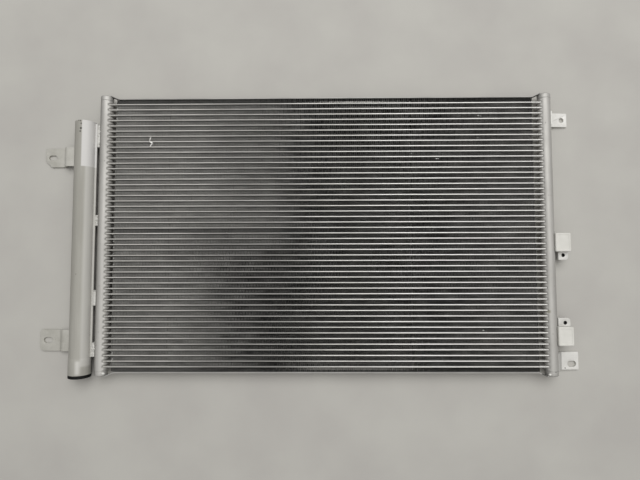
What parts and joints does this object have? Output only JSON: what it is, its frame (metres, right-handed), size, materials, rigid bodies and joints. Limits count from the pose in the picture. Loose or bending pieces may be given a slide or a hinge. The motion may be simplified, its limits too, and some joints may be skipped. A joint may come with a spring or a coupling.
{
  "type": "condenser assembly",
  "caption": "Parallel-flow car air-conditioning condenser: finned flat-tube core between round headers, with a receiver-drier along one header, mounting tabs and capped connection blocks.",
  "frame": {"origin": "middle of the footprint, on the plane that the part lies on", "axes": "+X along the flat tubes towards the side with the connection blocks, +Y along the headers away from the receiver's plug, +Z out of the face that the port covers are on"},
  "size_m": [0.794, 0.4148, 0.0306],
  "materials": {
    "core_aluminium": "brazed mill finish, dull grey",
    "plate_aluminium": "brazed rolled sheet, satin",
    "header_aluminium": "brazed mill finish, satin",
    "receiver_aluminium": "drawn tube, satin, faintly warm grey",
    "plug_plastic": "black moulded plastic",
    "seal_rubber": "moulded rubber ring",
    "strainer_plastic": "natural moulded plastic",
    "desiccant_felt": "off-white needle felt",
    "bracket_aluminium": "extruded, brazed on",
    "tab_aluminium": "pressed strip, matt after brazing",
    "block_aluminium": "machined, matt after brazing",
    "cover_plastic": "off-white moulded plastic"
  },
  "bodies": {
    "root": {"condensing_core": "core_aluminium", "subcooling_core": "core_aluminium", "top_side_plate": "plate_aluminium", "bottom_side_plate": "plate_aluminium", "left_header": "header_aluminium", "right_header": "header_aluminium", "left_header_top_cap": "header_aluminium", "left_header_bottom_cap": "header_aluminium", "right_header_top_cap": "header_aluminium", "right_header_bottom_cap": "header_aluminium", "left_header_baffle": "header_aluminium", "right_header_baffle": "header_aluminium", "receiver_body": "receiver_aluminium", "receiver_top_plate": "receiver_aluminium", "receiver_plug": "plug_plastic", "receiver_plug_outer_seal": "seal_rubber", "receiver_plug_inner_seal": "seal_rubber", "receiver_filter": "strainer_plastic", "desiccant_bag": "desiccant_felt", "receiver_upper_bracket": "bracket_aluminium", "receiver_middle_bracket": "bracket_aluminium", "receiver_inlet_block": "bracket_aluminium", "receiver_outlet_block": "bracket_aluminium", "upper_left_mounting_tab": "tab_aluminium", "lower_left_mounting_tab": "tab_aluminium", "upper_right_mounting_tab": "tab_aluminium", "lower_right_mounting_tab": "tab_aluminium", "inlet_connection_block": "block_aluminium", "outlet_connection_block": "block_aluminium", "inlet_port_cover": "cover_plastic", "outlet_port_cover": "cover_plastic"}
  },
  "joints": []
}
